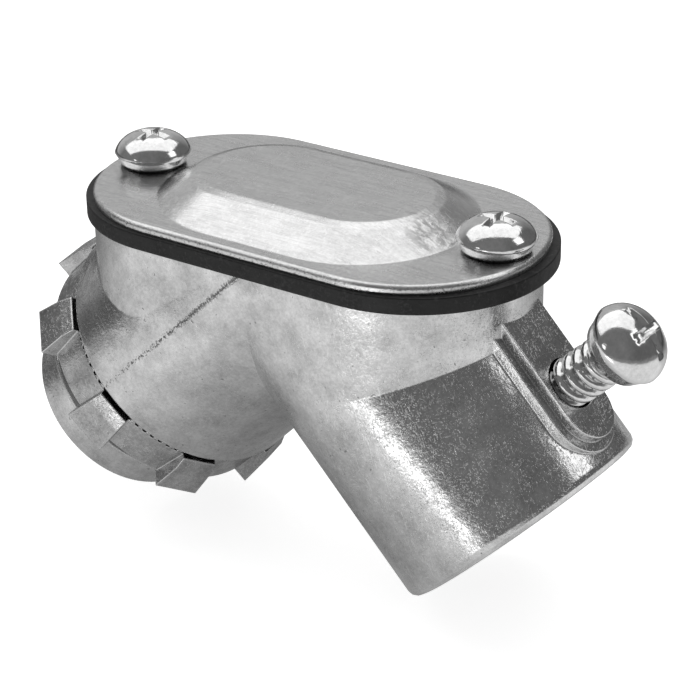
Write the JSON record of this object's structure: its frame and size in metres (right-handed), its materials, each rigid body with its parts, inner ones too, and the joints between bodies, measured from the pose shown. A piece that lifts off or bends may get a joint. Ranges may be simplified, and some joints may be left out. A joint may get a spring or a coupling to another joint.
{
  "type": "conduit body",
  "caption": "Die-cast right-angle pull elbow for thin-wall conduit, with set-screw socket, threaded nipple, locknut and screwed cover.",
  "frame": {"origin": "on the nipple's axis, at the shoulder that seats against the box wall", "axes": "-Z along the nipple into the box, +X along the conduit socket out of its mouth, Y across; the cover faces about midway between -X and +Z"},
  "size_m": [0.0501, 0.0278, 0.0569],
  "materials": {
    "cast_zinc": "satin, tumbled zinc die casting",
    "cover_metal": "brushed, lightly polished",
    "gasket_rubber": "matt black",
    "screw_plating": "bright zinc plating",
    "locknut_zinc": "satin zinc die casting"
  },
  "bodies": {
    "elbow": {"body_casting": "cast_zinc"},
    "cover": {"cover_plate": "cover_metal", "gasket": "gasket_rubber"},
    "screw_conduit_end": {"cover_screw_conduit_end": "screw_plating"},
    "screw_nipple_end": {"cover_screw_nipple_end": "screw_plating"},
    "clamp_screw": {"set_screw": "screw_plating"},
    "nut": {"locknut": "locknut_zinc"}
  },
  "joints": [
    {"name": "cover_lift", "type": "slide", "parent": "elbow", "child": "cover", "axis": [-0.7254, 0, 0.6884], "range_m": [0, 0.02]},
    {"name": "screw_conduit_end_out", "type": "slide", "parent": "cover", "child": "screw_conduit_end", "axis": [-0.7254, 0, 0.6884], "range_m": [0, 0.0055]},
    {"name": "screw_nipple_end_out", "type": "slide", "parent": "cover", "child": "screw_nipple_end", "axis": [-0.7254, 0, 0.6884], "range_m": [0, 0.0055]},
    {"name": "set_screw_travel", "type": "slide", "parent": "elbow", "child": "clamp_screw", "axis": [0, 0, 1], "range_m": [-0.0056, 0.0035]},
    {"name": "locknut_travel", "type": "slide", "parent": "elbow", "child": "nut", "axis": [0, 0, -1], "range_m": [0, 0.0112]}
  ]
}
